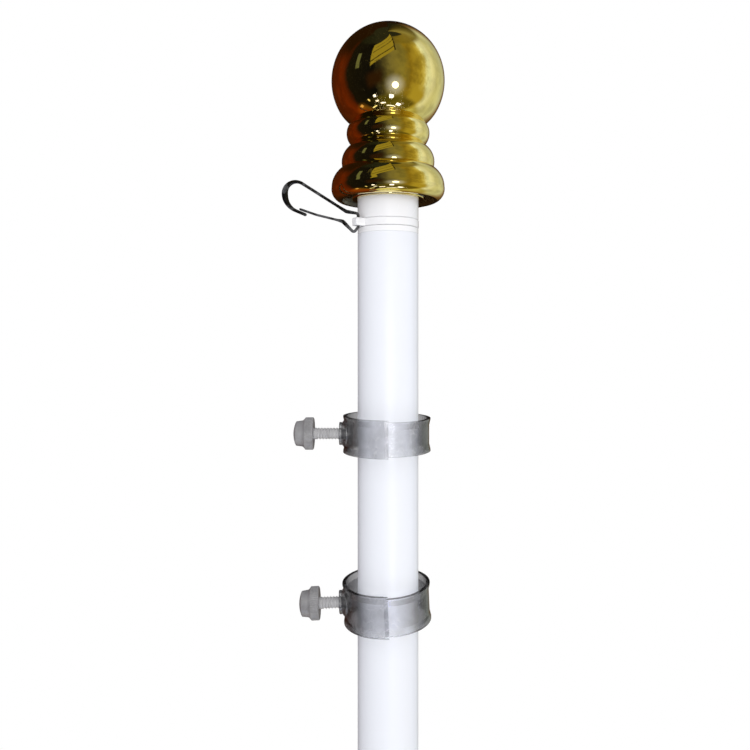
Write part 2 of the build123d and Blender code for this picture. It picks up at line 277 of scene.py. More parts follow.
def makeGoldPlating(look):
    material, tree, shader, place = newMaterial("goldPlating")
    grain = useGroup(tree, surfaceGrain, Vector=place, Ripple=55.0, Grain=900.0, GrainShare=0.08)
    marks = useGroup(tree, handlingMarks, Vector=place, Scale=260.0, Width=0.012, Cover=0.55)
    tone = addNode(tree, "ShaderNodeMix",
        {0: grain.outputs["Mask"], 6: (*look["tint"], 1), 7: (*look["tintDeep"], 1)}, data_type="RGBA")
    # painted shade: the recess on the underside is darkened and made less metallic, standing in for the
    # shade under the flange
    split = addNode(tree, "ShaderNodeSeparateXYZ", {0: place})
    flat = addNode(tree, "ShaderNodeCombineXYZ", {0: split.outputs[0], 1: split.outputs[1]})
    reach = addNode(tree, "ShaderNodeVectorMath", {0: flat.outputs[0]}, operation="LENGTH")
    near, far = look["recessReach"]
    within = addNode(tree, "ShaderNodeMath", {
        0: reach.outputs["Value"], 1: (near + far) / 2, 2: (far - near) / 2}, operation="COMPARE")
    low = addNode(tree, "ShaderNodeMapRange", {
        0: split.outputs[2], 1: look["recessTop"], 2: look["recessTop"] + 0.0008, 3: 1.0, 4: 0.0})
    recessShade = addNode(tree, "ShaderNodeMath", {0: low.outputs[0], 1: within.outputs[0]}, operation="MULTIPLY")
    shadedGoldColour = addNode(tree, "ShaderNodeMix", {
        0: recessShade.outputs[0], 6: tone.outputs[2], 7: (*look["recess"], 1)}, data_type="RGBA")
    metal = addNode(tree, "ShaderNodeMapRange", {0: recessShade.outputs[0], 3: 1.0, 4: look["recessShadeMetal"]})
    tree.links.new(metal.outputs[0], shader.inputs["Metallic"])
    tree.links.new(shadedGoldColour.outputs[2], shader.inputs["Base Color"])
    rough = addNode(tree, "ShaderNodeMapRange", {
        0: marks.outputs["Mask"], 3: look["roughness"], 4: look["marksRoughness"]})
    tree.links.new(rough.outputs[0], shader.inputs["Roughness"])
    # parting line: a thin upright seam on both sides
    azimuth = math.radians(look["partingAzimuth"])
    across = addNode(tree, "ShaderNodeMath", {0: split.outputs[0], 1: math.cos(azimuth)},
        operation="MULTIPLY")
    along = addNode(tree, "ShaderNodeMath",
        {0: split.outputs[1], 1: math.sin(azimuth), 2: across.outputs[0]}, operation="MULTIPLY_ADD")
    distance = addNode(tree, "ShaderNodeMath", {0: along.outputs[0]}, operation="ABSOLUTE")
    seam = addNode(tree, "ShaderNodeMapRange",
        {0: distance.outputs[0], 1: 0.0, 2: look["partingWidth"] * 0.01, 3: -0.6, 4: 0.0},
        interpolation_type="SMOOTHSTEP")
    height = addNode(tree, "ShaderNodeMath", {0: grain.outputs["Height"], 1: seam.outputs[0]},
        operation="ADD")
    bump = addNode(tree, "ShaderNodeBump", {
        "Height": height.outputs[0], "Strength": look["waviness"], "Distance": 0.002})
    tree.links.new(bump.outputs["Normal"], shader.inputs["Normal"])
    return material


# white: sprayed tube and moulded plug differ in tint, gloss and grain
whitePaintLook = {
    "light": (0.87, 0.885, 0.93), "shade": (0.845, 0.862, 0.912), "roughness": 0.3,
    "ripple": 160.0, "grain": 1400.0, "bump": 0.05,
}
whitePlasticLook = {
    "light": (0.93, 0.925, 0.935), "shade": (0.91, 0.905, 0.92), "roughness": 0.13,
    "ripple": 90.0, "grain": 900.0, "bump": 0.03,
}


def makeWhite(name, look):
    material, tree, shader, place = newMaterial(name)
    grain = useGroup(tree, surfaceGrain, Vector=place, Ripple=look["ripple"], Grain=look["grain"],
        GrainShare=0.35)
    marks = useGroup(tree, handlingMarks, Vector=place, Scale=180.0, Width=0.01, Cover=0.62)
    cloud = addNode(tree, "ShaderNodeTexNoise", {"Vector": place, "Scale": 14.0, "Detail": 3.0})
    tone = addNode(tree, "ShaderNodeMix",
        {0: cloud.outputs["Fac"], 6: (*look["light"], 1), 7: (*look["shade"], 1)}, data_type="RGBA")
    tree.links.new(tone.outputs[2], shader.inputs["Base Color"])
    rough = addNode(tree, "ShaderNodeMapRange", {
        0: marks.outputs["Mask"], 3: look["roughness"], 4: look["roughness"] + 0.25})
    tree.links.new(rough.outputs[0], shader.inputs["Roughness"])
    bump = addNode(tree, "ShaderNodeBump", {
        "Height": grain.outputs["Height"], "Strength": look["bump"], "Distance": 0.001})
    tree.links.new(bump.outputs["Normal"], shader.inputs["Normal"])
    return material


# black coated spring wire, lighter in random patches: partly worn coating, partly painted highlight
# standing in for grey streaks of reflected light
wireLook = {
    "coat": (0.003, 0.003, 0.004), "rubbedAndHighlight": (0.10, 0.10, 0.105), "roughness": 0.26, "rubbedRoughness": 0.2,
}


def makeBlackWire(look):
    material, tree, shader, place = newMaterial("blackWire")
    grain = useGroup(tree, surfaceGrain, Vector=place, Ripple=300.0, Grain=2600.0, GrainShare=0.5)
    # lighter patches: worn coating together with painted highlight
    wearAndHighlightPatch = ramp(tree, grain.outputs["Mask"], [(0.46, (0, 0, 0)), (0.64, (1, 1, 1))])
    tone = addNode(tree, "ShaderNodeMix", {0: wearAndHighlightPatch, 6: (*look["coat"], 1), 7: (*look["rubbedAndHighlight"], 1)},
        data_type="RGBA")
    tree.links.new(tone.outputs[2], shader.inputs["Base Color"])
    rough = addNode(tree, "ShaderNodeMapRange", {
        0: wearAndHighlightPatch, 3: look["roughness"], 4: look["rubbedRoughness"]})
    tree.links.new(rough.outputs[0], shader.inputs["Roughness"])
    shader.inputs["Specular IOR Level"].default_value = 0.5
    bump = addNode(tree, "ShaderNodeBump", {
        "Height": grain.outputs["Height"], "Strength": 0.12, "Distance": 0.0003})
    tree.links.new(bump.outputs["Normal"], shader.inputs["Normal"])
    return material


# smoke grey plastic of the rings: clear face on, dark where the wall is seen at a slant; the boss half is a
# darker copy, painted shade of the half away from the lamps
smokeLook = {
    "slant": [
        (0.0, (0.99, 0.99, 1.0)), (0.12, (0.92, 0.93, 0.96)), (0.22, (0.54, 0.54, 0.56)),
        (0.31, (0.29, 0.285, 0.287)), (0.44, (0.19, 0.185, 0.185)), (0.7, (0.10, 0.096, 0.096)),
        (1.0, (0.012, 0.012, 0.012))],
    # the boss half's lower tone range is painted shade of the half away from the lamps
    "haze": {"boss": (0.69, 0.85), "plain": (0.84, 0.95)}, "roughness": 0.12, "hazeRoughness": 0.3,
    "absorb": (0.42, 0.42, 0.43), "density": 80.0, "gloss": {"boss": 0.15, "plain": 0.3},
    "letThrough": (0.80, 0.80, 0.82),
}


def makeSmokePlastic(look, half):
    material, tree, shader, place = newMaterial(f"{half}SmokePlastic")
    shader.inputs["Specular IOR Level"].default_value = look["gloss"][half]
    shader.inputs["Transmission Weight"].default_value = 1.0
    shader.inputs["IOR"].default_value = 1.49
    grain = useGroup(tree, surfaceGrain, Vector=place, Ripple=260.0, Grain=1800.0, GrainShare=0.25)
    marks = useGroup(tree, handlingMarks, Vector=place, Scale=420.0, Width=0.008, Cover=0.58)
    cloud = addNode(tree, "ShaderNodeTexNoise", {
        "Vector": place, "Scale": 210.0, "Detail": 4.0, "Roughness": 0.65})
    slanted = addNode(tree, "ShaderNodeLayerWeight", {"Blend": 0.5})
    tint = ramp(tree, slanted.outputs["Facing"], look["slant"])
    # random mottle, scaled darker on the boss half as painted shade
    mottleWithHalfShade = addNode(tree, "ShaderNodeMapRange", {
        0: cloud.outputs["Fac"], 1: 0.35, 2: 0.65, 3: look["haze"][half][0], 4: look["haze"][half][1]})
    tone = addNode(tree, "ShaderNodeMix", {0: 1.0, 6: tint, 7: mottleWithHalfShade.outputs[0]}, data_type="RGBA",
        blend_type="MULTIPLY")
    tree.links.new(tone.outputs[2], shader.inputs["Base Color"])
    haze = addNode(tree, "ShaderNodeMath", {0: grain.outputs["Mask"], 1: 0.5, 2: marks.outputs["Mask"]},
        operation="MULTIPLY_ADD")
    rough = addNode(tree, "ShaderNodeMapRange", {
        0: haze.outputs[0], 3: look["roughness"], 4: look["hazeRoughness"]})
    tree.links.new(rough.outputs[0], shader.inputs["Roughness"])
    bump = addNode(tree, "ShaderNodeBump", {
        "Height": grain.outputs["Height"], "Strength": 0.14, "Distance": 0.0006})
    tree.links.new(bump.outputs["Normal"], shader.inputs["Normal"])
    absorb = addNode(tree, "ShaderNodeVolumeAbsorption", {
        "Color": (*look["absorb"], 1), "Density": look["density"]})
    tree.links.new(absorb.outputs[0], tree.nodes["Material Output"].inputs["Volume"])
    # lamp light passes on to the pole behind the wall
    lightPath = addNode(tree, "ShaderNodeLightPath")
    through = addNode(tree, "ShaderNodeBsdfTransparent", {"Color": (*look["letThrough"], 1)})
    mixed = addNode(tree, "ShaderNodeMixShader", {
        0: lightPath.outputs["Is Shadow Ray"], 1: shader.outputs[0], 2: through.outputs[0]})
    tree.links.new(mixed.outputs[0], tree.nodes["Material Output"].inputs["Surface"])
    return material


# frosted grey plastic of the screws
headLook = {
    "name": "frostedHead", "light": (0.42, 0.415, 0.42), "dark": (0.14, 0.135, 0.14), "roughness": 0.28,
}
shankLook = {
    "name": "frostedShank", "light": (0.62, 0.615, 0.62), "dark": (0.34, 0.335, 0.34), "roughness": 0.24,
}


def makeFrostedPlastic(look):
    material, tree, shader, place = newMaterial(look["name"])
    grain = useGroup(tree, surfaceGrain, Vector=place, Ripple=420.0, Grain=2400.0, GrainShare=0.4)
    cloud = addNode(tree, "ShaderNodeTexNoise", {
        "Vector": place, "Scale": 230.0, "Detail": 5.0, "Roughness": 0.6})
    tone = addNode(tree, "ShaderNodeMix",
        {0: cloud.outputs["Fac"], 6: (*look["light"], 1), 7: (*look["dark"], 1)}, data_type="RGBA")
    tree.links.new(tone.outputs[2], shader.inputs["Base Color"])
    rough = addNode(tree, "ShaderNodeMapRange", {
        0: grain.outputs["Mask"], 3: look["roughness"] - 0.08, 4: look["roughness"] + 0.12})
    tree.links.new(rough.outputs[0], shader.inputs["Roughness"])
    bump = addNode(tree, "ShaderNodeBump", {
        "Height": grain.outputs["Height"], "Strength": 0.2, "Distance": 0.0004})
    tree.links.new(bump.outputs["Normal"], shader.inputs["Normal"])
    return material


goldPlating = makeGoldPlating(goldLook)
whitePaint = makeWhite("whitePaint", whitePaintLook)
whitePlastic = makeWhite("whitePlastic", whitePlasticLook)
blackWire = makeBlackWire(wireLook)
bossSmokeShaded = makeSmokePlastic(smokeLook, "boss")
plainSmoke = makeSmokePlastic(smokeLook, "plain")
frostedHead = makeFrostedPlastic(headLook)
frostedShank = makeFrostedPlastic(shankLook)
print("materials made")


# Tubes, foot and plug

poleSizes = {
    "radius": 12.7, "wall": 0.8, "foot": 2.0, "joint": 704.0, "top": 1466.0, "edge": 0.22,
    "spigot": 60.0, "spigotRadius": 11.82, "swage": 4.0,
    "lowerCorners": {0: 0.22, 1: 1.6, 2: 1.2, 3: 0.3, 4: 0.2, 7: 0.2},
}
capSizes = {
    "radius": 12.7, "face": 12.1, "bevel": 0.6, "flange": 2.0, "plug": 11.85, "plugTop": 27.0,
    "bore": 10.25, "corners": {1: 0.3, 2: 0.3, 3: 0.2, 5: 0.4, 6: 0.3},
}


def makePole(size):
    radius, wall, joint, foot, top = size["radius"], size["wall"], size["joint"], size["foot"], size["top"]
    bore = radius - wall
    outline = [(radius, joint), (radius, top), (bore, top), (bore, joint)]
    upperTube = lathe("upperTubePaint", roundCorners(outline, size["edge"]))
    dress(upperTube, "pole", "white_paint", whitePaint, "upper_tube")
    # the lower tube narrows to a spigot inside the upper one
    inner, end, taper = size["spigotRadius"], joint + size["spigot"], joint - size["swage"]
    outline = [
        (radius, foot), (radius, taper), (inner, joint), (inner, end), (inner - wall, end),
        (inner - wall, joint), (bore, taper), (bore, foot)]
    lowerTube = lathe("lowerTubePaint", roundCorners(outline, size["lowerCorners"]))
    dress(lowerTube, "pole", "white_paint", whitePaint, "lower_tube")


def makeCap(size):
    radius, plug, bore = size["radius"], size["plug"], size["bore"]
    flange, plugTop = size["flange"], size["plugTop"]
    outline = [
        (0, 0), (size["face"], 0), (radius, size["bevel"]), (radius, flange), (plug, flange),
        (plug, plugTop), (bore, plugTop), (bore, flange), (0, flange)]
    cap = lathe("footCapMoulding", roundCorners(outline, size["corners"]))
    dress(cap, "pole", "white_plastic", whitePlastic, "bottom_cap")


plugSizes = {
    "radius": 12.7, "barrel": 12.75, "groove": 11.4, "bore": 9.4, "foot": 1436.0, "seat": 1466.0,
    "grooveFoot": 1468.4, "barrelFoot": 1471.8, "barrelTop": 1494.0, "spigot": 11.85, "leadIn": 1.0,
    "topWall": 2.0, "corners": {4: 0.35, 5: 0.35, 6: 0.2, 7: 0.2, 8: 0.45, 9: 0.45},
}


def makePlug(size):
    radius, groove, barrel, bore = size["radius"], size["groove"], size["barrel"], size["bore"]
    spigot, foot, seat, leadIn = size["spigot"], size["foot"], size["seat"], size["leadIn"]
    grooveFoot, barrelFoot, barrelTop = size["grooveFoot"], size["barrelFoot"], size["barrelTop"]
    roof = barrelTop - size["topWall"]
    outline = [
        (bore, foot), (spigot - leadIn, foot), (spigot, foot + leadIn), (spigot, seat), (radius, seat),
        (radius, grooveFoot), (groove, grooveFoot), (groove, barrelFoot), (barrel, barrelFoot),
        (barrel, barrelTop), (0, barrelTop), (0, roof), (bore, roof)]
    plug = lathe("topPlugMoulding", roundCorners(outline, size["corners"]))
    dress(plug, "pole", "white_plastic", whitePlastic, "top_plug")


makePole(poleSizes)
makeCap(capSizes)
makePlug(plugSizes)
print("pole and plug made")


# Ball finial

finialSizes = {
    "foot": 1480.0, "mouth": 12.8, "grip": 14.0, "ridge": 0.5, "ridgeWidth": 2.2, "recess": 1.4,
    "draft": 0.45, "lipInner": 19.1, "lipOuter": 20.6, "lipTurn": (1.2, 0.8),
    "lipCorners": {1: 0.3, 2: 0.3, 3: 0.35, 4: 0.35, 5: 0.3, 6: 0.35},
    # each arc: a point on it, its end and the number of steps
    "arcs": [((22.95, 2.1), (23.6, 5.7), 14), ((22.2, 10.5), (19.0, 13.6), 18),
             ((18.9, 18.9), (14.95, 23.2), 26), ((17.35, 28.4), (15.5, 32.6), 26)],
    "ballRadius": 23.67, "ballHeight": 49.9, "neckAngle": -30, "neckSteps": 10, "ballStep": 2,
    "wall": 2.0, "channel": 10.5, "hollowSteps": 30, "segments": 256,
}


def onCircle(radius, height, degrees):
    angle = math.radians(degrees)
    return radius * math.cos(angle), height + radius * math.sin(angle)


def makeFinial(size):
    foot, mouth, ridge, draft = size["foot"], size["mouth"], size["ridge"], size["draft"]
    lipInner, lipOuter, recess = size["lipInner"], size["lipOuter"], size["recess"]
    ridgeEdge = mouth + size["ridgeWidth"]
    turn = (lipOuter + size["lipTurn"][0], size["lipTurn"][1])   # only bends the lip's corner
    underside = roundCorners([
        (mouth, size["grip"]), (mouth, ridge), (ridgeEdge, ridge), (ridgeEdge + draft, recess),
        (lipInner - draft, recess), (lipInner, 0.0), (lipOuter, 0.0), turn],
        size["lipCorners"], closed=False)[:-1]
    outline = [(lipOuter, 0.0)]
    for middle, end, steps in size["arcs"]:
        outline += arcThrough(outline[-1], middle, end, steps)
    # the neck's arc runs from the upper bead and meets the ball without a kink
    ball, centre, neckAngle = size["ballRadius"], size["ballHeight"], size["neckAngle"]
    first = Vector(onCircle(ball, centre, neckAngle))
    normal = Vector(onCircle(1.0, 0.0, neckAngle))
    chord = Vector(outline[-1]) - first
    bend = chord.length_squared / (2 * normal.dot(chord))
    hub = first + normal * bend
    a0 = math.atan2(outline[-1][1] - hub.y, outline[-1][0] - hub.x)
    a1 = math.atan2(first.y - hub.y, first.x - hub.x)
    for i in range(1, size["neckSteps"] + 1):
        angle = a0 + (a1 - a0) * i / size["neckSteps"]
        outline.append((hub.x + abs(bend) * math.cos(angle), hub.y + abs(bend) * math.sin(angle)))
    ballAngles = range(neckAngle + size["ballStep"], 89, size["ballStep"])
    outline += [onCircle(ball, centre, angle) for angle in ballAngles]
    outline.append((0.0, centre + ball))
    hollow = ball - size["wall"]
    start = -math.degrees(math.acos(size["channel"] / hollow))
    steps = size["hollowSteps"]
    inside = [onCircle(hollow, centre, start + (90 - start) * i / steps) for i in range(steps - 1, -1, -1)]
    inside = [(0.0, centre + hollow)] + inside + [(size["channel"], size["grip"])]
    profile = [(r, z + foot) for r, z in underside + outline[1:] + inside]
    finial = lathe("finialPlating", profile, size["segments"], 40)
    dress(finial, "pole", "gold_plating", goldPlating, "finial_ball")


makeFinial(finialSizes)
print("finial made")


# Snap hook

hookSizes = {
    "stem": (-12.3029, -8.2984), "foot": 1468.5,
    "route": [
        (21.06, 4.3), (29.89, 8.0), (29.89, 21.7), (4.85, 5.8), (0, 5.0), (0, -0.5), (1.75, -2.8),
        (6.3, 1.8), (17.06, 4.45), (23.96, 6.85)],
    "radii": [7.5, 4.6, 2.0, 1.0, 1.0, 0.9, 1.5, 20.0],
    # along the wire: the run from its first end, width and thickness
    "sections": [
        (0, 1.3, 1.05), (4, 1.3, 1.05), (13.5, 2.6, 0.9), (23, 1.3, 1.05), (28, 1.2, 1.2), (40, 1.2, 1.2),
        (45.5, 1.5, 1.05), (49, 1.2, 1.2), (58.5, 1.2, 1.2), (63, 1.6, 1.05), (67, 0.95, 1.25),
        (120, 0.95, 1.25)],
    "around": 28, "step": 0.5, "arcStep": 4, "tipRound": 0.3, "tipShare": 0.62, "flatFrom": 1.3,
    "flatPower": 0.86,
}


def hookLine(route, radii, step, arcStep):
    # the wire's centre line as close points, straight runs and arcs
    points = [Vector(route[0])]
    for i in range(1, len(route) - 1):
        here = Vector(route[i])
        back = Vector(route[i - 1]) - here
        ahead = Vector(route[i + 1]) - here
        half = back.angle(ahead) / 2
        back.normalize()
        ahead.normalize()
        reach = radii[i - 1] / math.tan(half)
        middle = here + (back + ahead).normalized() * (radii[i - 1] / math.sin(half))
        a = here + back * reach - middle
        b = here + ahead * reach - middle
        sweepAngle = -a.angle_signed(b)
        steps = max(6, int(abs(sweepAngle) / math.radians(arcStep)))
        for k in range(steps + 1):
            t = sweepAngle * k / steps
            x = a.x * math.cos(t) - a.y * math.sin(t)
            y = a.x * math.sin(t) + a.y * math.cos(t)
            points.append(middle + Vector((x, y)))
    points.append(Vector(route[-1]))
    fine = [points[0]]
    for p, q in zip(points, points[1:]):
        pieces = max(1, int((q - p).length / step))
        fine += [p.lerp(q, k / pieces) for k in range(1, pieces + 1)]
    return fine


def makeHook(size):
    line = hookLine(size["route"], size["radii"], size["step"], size["arcStep"])
    runs = [0.0]
    for p, q in zip(line, line[1:]):
        runs.append(runs[-1] + (q - p).length)
    total, around = runs[-1], size["around"]
    tip, tipShare = size["tipRound"], size["tipShare"]
    verts, faces = [], []
    for i, (point, run) in enumerate(zip(line, runs)):
        ahead = line[min(i + 1, len(line) - 1)] - line[max(i - 1, 0)]
        side = Vector((-ahead.y, ahead.x)).normalized()
        for (s0, w0, t0), (s1, w1, t1) in zip(size["sections"], size["sections"][1:]):
            if s0 <= run <= s1:
                share = (run - s0) / (s1 - s0)
                share = share * share * (3 - 2 * share)
                width, thick = w0 + (w1 - w0) * share, t0 + (t1 - t0) * share
        end = min(run, total - run)
        shrink = 1.0 if end > tip else tipShare + (1 - tipShare) * math.sqrt(1 - (1 - end / tip) ** 2)
        flat = 1.0 if width < size["flatFrom"] else size["flatPower"]
        for k in range(around):
            angle = 2 * math.pi * k / around
            u = abs(math.cos(angle)) ** flat * math.copysign(1, math.cos(angle)) * width / 2 * shrink
            y = math.sin(angle) * thick / 2 * shrink
            spot = point + side * u
            verts.append((
                (size["stem"][0] - spot.x) * mm, (size["stem"][1] + y) * mm, (size["foot"] + spot.y) * mm))
    for i in range(len(line) - 1):
        for k in range(around):
            n = (k + 1) % around
            faces.append((i * around + k, i * around + n, (i + 1) * around + n, (i + 1) * around + k))
    faces.append(tuple(reversed(range(around))))
    faces.append(tuple(range((len(line) - 1) * around, len(line) * around)))
    hook = meshPiece("snapHookWire", verts, faces, 50)
    dress(hook, "hook", "black_wire", blackWire, "wire_hook")


makeHook(hookSizes)
print("hook made")


# Thumb screws: threaded shank, knurled flange, cone and crown

screwSizes = {
    "shank": 4.8, "shankLength": 15.7, "pitch": 1.27, "threadDepth": 0.4, "turnSteps": 14,
    "leadIn": 0.6, "leadDepth": 0.35, "runOut": 0.8, "crestFlat": 0.16, "flank": 0.68, "shankAround": 64,
    "neck": 3.0, "flange": 13.5, "flangeHeight": 3.6, "ridges": 56, "ridgeDepth": 0.16, "headAround": 448,
    "cone": 1.2, "coneSteps": 6, "filletPower": 1.6, "crown": 10.8, "crownTop": 10.2, "crownHeight": 2.6,
    "dome": 1.1, "domeSteps": 8,
    # softened edges: height from the face beside them, radius from the rim, share of the ribs
    "flangeFoot": [(0, -0.45, 0), (0.12, -0.2, 0.2), (0.35, 0, 1.0)],
    "flangeEdge": [(-0.3, 0, 1.0), (-0.08, -0.14, 0.5), (0.08, -0.38, 0)],
    "crownFoot": [(0.15, -0.03, 0)],
    "crownEdge": [(-0.35, 0.02, 0), (-0.12, -0.06, 0), (0, -0.2, 0)],
    "seats": {
        "upper": {"tip": 15.4, "height": 1382.6, "lean": 0.0},
        "lower": {"tip": 13.0, "height": 1312.8, "lean": 2.6}},
}


def makeScrew(place, size):
    seat = size["seats"][place]
    lean = math.radians(seat["lean"])
    outward = Vector((-math.cos(lean), 0, -math.sin(lean)))
    upward = Vector((-math.sin(lean), 0, math.cos(lean)))
    sideways = Vector((0, 1, 0))
    pivot = Vector((0, 0, seat["height"]))
    verts, faces = [], []

    def ringAt(t, radiusOf, count):
        start = len(verts)
        middle = pivot + outward * (seat["tip"] + t)
        for k in range(count):
            angle = 2 * math.pi * k / count
            rim = sideways * math.cos(angle) + upward * math.sin(angle)
            verts.append((middle + rim * radiusOf(angle)) * mm)
        return list(range(start, start + count))

    def skin(rows):
        for a, b in zip(rows, rows[1:]):
            for k in range(len(a)):
                n = (k + 1) % len(a)
                faces.append((a[k], b[k], b[n], a[n]))
        faces.append(tuple(rows[0]))
        faces.append(tuple(reversed(rows[-1])))

    crest, depth, pitch, head = size["shank"] / 2, size["threadDepth"], size["pitch"], size["shankLength"]
    leadIn, runOut = size["leadIn"], size["runOut"]
    steps = int(head / pitch * size["turnSteps"])
    rows = []
    for i in range(steps + 1):
        t = head * i / steps
        lead = min(1.0, t / leadIn)
        tail = min(1.0, max(0.0, (head - runOut - t) / runOut))

        def threadRadius(angle, t=t, lead=lead, tail=tail):
            phase = (t / pitch - angle / (2 * math.pi)) % 1.0
            tooth = abs(phase - 0.5) * 2
            cut = min(1.0, max(0.0, (tooth - size["crestFlat"]) / size["flank"]))
            return crest - depth * cut * tail - size["leadDepth"] * (1 - lead)
        rows.append(ringAt(t, threadRadius, size["shankAround"]))
    skin(rows)
    shankFaces = len(faces)

    def knurled(radius, share):
        def radiusOf(angle):
            saw = abs((angle * size["ridges"] / (2 * math.pi)) % 1.0 - 0.5) * 2
            return radius - size["ridgeDepth"] * share * saw
        return radiusOf

    def edge(name, height, radius):
        return [(height + up, radius + out, share) for up, out, share in size[name]]

    flange, crown, top = size["flange"] / 2, size["crown"] / 2, size["crownTop"] / 2
    base = head + size["flangeHeight"]
    end = base + size["cone"] + size["crownHeight"]
    marks = [(head, size["neck"], 0)]
    marks += edge("flangeFoot", head, flange) + edge("flangeEdge", base, flange)
    # a cone that runs softly into the crown
    coneFoot, coneRadius = marks[-1][:2]
    for k in range(1, size["coneSteps"] + 1):
        climb = k / size["coneSteps"]
        fillet = 1 - (1 - climb) ** size["filletPower"]
        marks.append((coneFoot + (base + size["cone"] - coneFoot) * climb,
            coneRadius + (crown - coneRadius) * fillet, 0))
    marks += edge("crownFoot", base + size["cone"], crown) + edge("crownEdge", end, top)
    rim = marks[-1][1]
    for k in range(1, size["domeSteps"]):
        r = rim * (1 - k / size["domeSteps"])
        marks.append((end + size["dome"] * (1 - (r / top) ** 2), r, 0))
    skin([ringAt(t, knurled(r, share), size["headAround"]) for t, r, share in marks])
    screw = meshPiece(f"{place}ThumbScrewBody", verts, faces, 28)
    dress(screw, f"{place}_screw", "frosted_plastic", frostedHead, f"{place}_thumb_screw")
    # the thin shank lets more light through than the thick head
    screw.data.materials.append(frostedShank)
    for polygon in screw.data.polygons[:shankFaces]:
        polygon.material_index = 1


for place in ("upper", "lower"):
    makeScrew(place, screwSizes)
print("screws made")


# Nodes that keep their own mesh

keptNodes = {
    "swivel_ring": whitePlastic, "upper_ring_boss_half": bossSmokeShaded, "upper_ring_plain_half": plainSmoke,
    "lower_ring_boss_half": bossSmokeShaded, "lower_ring_plain_half": plainSmoke,
}
for node, material in keptNodes.items():
    kept = frame["nodes"][node]
    parts = [kept] if kept.type == "MESH" else [c for c in kept.children_recursive if c.type == "MESH"]
    for part in parts:
        if not part.material_slots:
            part.data.materials.append(material)
        for slot in part.material_slots:
            slot.link = "OBJECT"
            slot.material = material
print("kept nodes dressed")


# Studio: floor, lamps, surroundings and camera

floorSizes = {
    "radius": 5.0, "segments": 96, "drop": 0.0004, "colour": (0.86, 0.86, 0.86),
    "clouds": (0.84, 0.84, 0.845), "fadeFrom": 0.7, "fadeTo": 1.9, "nearGlow": 0.25,
}


def makeFloor(size):
    radius, count = size["radius"], size["segments"]
    turns = [math.tau * k / count for k in range(count)]
    verts = [(0, 0, 0)] + [(radius * math.cos(turn), radius * math.sin(turn), 0) for turn in turns]
    floor = meshPiece("studioFloor", verts, [(0, k + 1, (k + 1) % count + 1) for k in range(count)])
    floor.location.z = -size["drop"]
    material, tree, shader, place = newMaterial("floorPaper")
    grain = addNode(tree, "ShaderNodeTexNoise", {"Vector": place, "Scale": 3.0, "Detail": 4.0})
    tone = addNode(tree, "ShaderNodeMix",
        {0: grain.outputs["Fac"], 6: (*size["colour"], 1), 7: (*size["clouds"], 1)}, data_type="RGBA")
    tree.links.new(tone.outputs[2], shader.inputs["Base Color"])
    shader.inputs["Roughness"].default_value = 0.7
    away = addNode(tree, "ShaderNodeVectorMath", {0: place}, operation="LENGTH").outputs["Value"]
    fade = addNode(tree, "ShaderNodeMapRange",
        {0: away, 1: size["fadeFrom"], 2: size["fadeTo"], 3: size["nearGlow"], 4: 1.0},
        interpolation_type="SMOOTHSTEP")
    lightPath = addNode(tree, "ShaderNodeLightPath")
    seen = addNode(tree, "ShaderNodeMath", {0: lightPath.outputs["Is Camera Ray"], 1: fade.outputs[0]},
        operation="MULTIPLY")
    glow = addNode(tree, "ShaderNodeEmission", {"Color": (1, 1, 1, 1), "Strength": 1.0})
    mixed = addNode(tree, "ShaderNodeMixShader", {
        0: seen.outputs[0], 1: shader.outputs[0], 2: glow.outputs[0]})
    tree.links.new(mixed.outputs[0], tree.nodes["Material Output"].inputs["Surface"])
    floor.data.materials.append(material)
    floor.visible_glossy = False


makeFloor(floorSizes)

lamps = {
    "keySoftbox": {"place": (0.50, -2.35, 1.45), "aim": (0, 0, 1.35), "size": (0.9, 2.4), "power": 3.4,
        "glossy": False},
    "nearSoftbox": {"place": (0.07, -0.86, 1.49), "aim": (0, 0, 1.49), "size": (0.40, 0.40), "power": 3.2,
        "glossy": False},
    "sideFill": {"place": (1.60, -0.35, 1.10), "aim": (0, 0, 1.1), "size": (0.5, 2.4), "power": 1.5,
        "glossy": False},
    "eyeLamp": {"place": (0.25, -0.96, 1.10), "aim": (0, 0, 1.50), "size": (0.23, 0.23), "power": 0.6,
        "glossy": True},
}


def makeLamps(plan):
    for name, lamp in plan.items():
        data = bpy.data.lights.new(name, "AREA")
        data.shape = "RECTANGLE" if lamp["size"][0] != lamp["size"][1] else "DISK"
        data.size, data.size_y = lamp["size"]
        data.energy = lamp["power"]
        lampObject = bpy.data.objects.new(name, data)
        lampObject.location = lamp["place"]
        toAim = Vector(lamp["aim"]) - Vector(lamp["place"])
        lampObject.rotation_euler = toAim.to_track_quat("-Z", "Y").to_euler()
        lampObject.visible_glossy = lamp["glossy"]
        lampObject.visible_camera = False
        bpy.context.scene.collection.objects.link(lampObject)


makeLamps(lamps)

